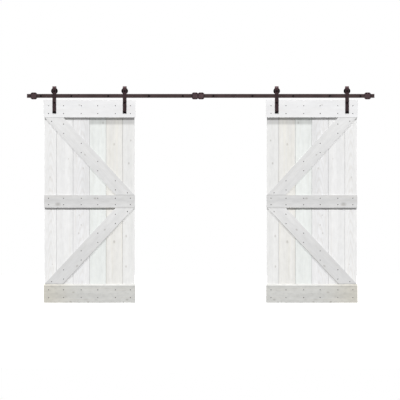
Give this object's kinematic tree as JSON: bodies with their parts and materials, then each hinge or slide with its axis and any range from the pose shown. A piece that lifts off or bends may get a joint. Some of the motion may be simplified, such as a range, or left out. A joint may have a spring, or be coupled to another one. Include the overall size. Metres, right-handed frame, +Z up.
{
  "type": "sliding barn door",
  "caption": "Double sliding barn door: K-braced board leaves on strap hangers whose grooved wheels run along a flat wall-fixed track between bumper stops.",
  "frame": {"origin": "on the wall's face, at the middle of the track's length and of the rail's height", "axes": "+X along the track to the right as seen from the room, +Y into the wall, +Z up"},
  "size_m": [3.658, 0.1094, 2.2798],
  "materials": {
    "track_steel": "satin dark bronze powder coat",
    "stop_steel": "satin dark bronze powder coat",
    "fastener_black": "black oxide",
    "pad_rubber": "black rubber",
    "board_white": "whitewashed pine with a fine grain",
    "top_rail_white": "whitewashed pine",
    "mid_rail_white": "whitewashed pine, greyer",
    "bottom_rail_grey": "whitewashed pine, warm grey",
    "brace_white": "whitewashed pine, light grey",
    "nail_steel": "dull steel",
    "strap_steel": "satin dark bronze powder coat",
    "bare_steel": "ground steel",
    "disc_nylon": "black nylon",
    "wheel_black": "black nylon tread"
  },
  "bodies": {
    "track": {"rail_left": "track_steel", "rail_right": "track_steel", "splice_plate": "track_steel", "end_stop_blocks": "track_steel", "mid_stop_blocks": "track_steel", "end_stop_plates": "stop_steel", "mid_stop_plates": "stop_steel", "splice_screws": "fastener_black", "wall_spacers": "fastener_black", "lag_bolts": "fastener_black", "stop_bolts": "fastener_black", "stop_pads": "pad_rubber"},
    "left_door": {"left_board_1": "board_white", "left_board_2": "board_white", "left_board_3": "board_white", "left_board_4": "board_white", "left_board_5": "board_white", "left_board_6": "board_white", "left_top_rail": "top_rail_white", "left_mid_rail": "mid_rail_white", "left_bottom_rail": "bottom_rail_grey", "left_upper_brace": "brace_white", "left_lower_brace": "brace_white", "left_nails": "nail_steel", "left_outer_strap": "strap_steel", "left_inner_strap": "strap_steel", "left_strap_bolts": "fastener_black", "left_axle_bolts": "fastener_black", "left_axle_sleeves": "bare_steel", "left_hanger_nuts": "fastener_black", "left_discs": "disc_nylon", "left_disc_screws": "bare_steel"},
    "left_outer_wheel_body": {"left_outer_wheel": "wheel_black", "left_outer_bearing": "bare_steel"},
    "left_inner_wheel_body": {"left_inner_wheel": "wheel_black", "left_inner_bearing": "bare_steel"},
    "right_door": {"right_board_1": "board_white", "right_board_2": "board_white", "right_board_3": "board_white", "right_board_4": "board_white", "right_board_5": "board_white", "right_board_6": "board_white", "right_top_rail": "top_rail_white", "right_mid_rail": "mid_rail_white", "right_bottom_rail": "bottom_rail_grey", "right_upper_brace": "brace_white", "right_lower_brace": "brace_white", "right_nails": "nail_steel", "right_outer_strap": "strap_steel", "right_inner_strap": "strap_steel", "right_strap_bolts": "fastener_black", "right_axle_bolts": "fastener_black", "right_axle_sleeves": "bare_steel", "right_hanger_nuts": "fastener_black", "right_discs": "disc_nylon", "right_disc_screws": "bare_steel"},
    "right_outer_wheel_body": {"right_outer_wheel": "wheel_black", "right_outer_bearing": "bare_steel"},
    "right_inner_wheel_body": {"right_inner_wheel": "wheel_black", "right_inner_bearing": "bare_steel"}
  },
  "joints": [
    {"name": "left_door_slide", "type": "slide", "parent": "track", "child": "left_door", "axis": [1, 0, 0], "range_m": [-0.1575, 0.6585]},
    {"name": "right_door_slide", "type": "slide", "parent": "track", "child": "right_door", "axis": [1, 0, 0], "range_m": [-0.7145, 0.1575]},
    {"name": "left_outer_wheel_spin", "type": "hinge", "parent": "left_door", "child": "left_outer_wheel_body", "pos_m": [-1.54, -0.033, 0.0518], "axis": [0, 1, 0], "continuous": true},
    {"name": "left_inner_wheel_spin", "type": "hinge", "parent": "left_door", "child": "left_inner_wheel_body", "pos_m": [-0.8, -0.033, 0.0518], "axis": [0, 1, 0], "continuous": true},
    {"name": "right_outer_wheel_spin", "type": "hinge", "parent": "right_door", "child": "right_outer_wheel_body", "pos_m": [1.54, -0.033, 0.0518], "axis": [0, 1, 0], "continuous": true},
    {"name": "right_inner_wheel_spin", "type": "hinge", "parent": "right_door", "child": "right_inner_wheel_body", "pos_m": [0.8, -0.033, 0.0518], "axis": [0, 1, 0], "continuous": true}
  ],
  "couplings": [
    {"joint": "left_outer_wheel_spin", "follows": "left_door_slide", "rad_per_m": 32.258},
    {"joint": "left_inner_wheel_spin", "follows": "left_door_slide", "rad_per_m": 32.258},
    {"joint": "right_outer_wheel_spin", "follows": "right_door_slide", "rad_per_m": 32.258},
    {"joint": "right_inner_wheel_spin", "follows": "right_door_slide", "rad_per_m": 32.258}
  ]
}
